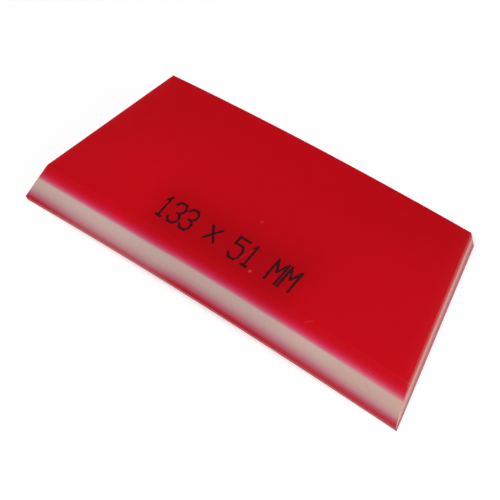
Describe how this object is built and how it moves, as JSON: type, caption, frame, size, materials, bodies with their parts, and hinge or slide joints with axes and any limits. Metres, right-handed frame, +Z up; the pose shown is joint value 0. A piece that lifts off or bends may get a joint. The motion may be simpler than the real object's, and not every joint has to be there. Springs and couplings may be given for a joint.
{
  "type": "squeegee blade",
  "caption": "Laminated urethane squeegee blade: trapezoid slab with a ground bevel along its long working edge, slanted ends and a slight lengthwise curl.",
  "frame": {"origin": "middle of the blade's footprint, on the plane that its four lower corners stand on", "axes": "+X along the working edge, +Y from the working edge to the back edge, +Z up through the layers, bevelled side up"},
  "size_m": [0.1328, 0.051, 0.0092],
  "materials": {
    "red_urethane": "smooth cast, translucent red, satin gloss",
    "clear_urethane": "smooth cast, milky clear",
    "marking_ink": "matte black ink film"
  },
  "bodies": {
    "root": {"bottom_red_layer": "red_urethane", "clear_core_layer": "clear_urethane", "top_red_layer": "red_urethane", "size_marking": "marking_ink"}
  },
  "joints": []
}
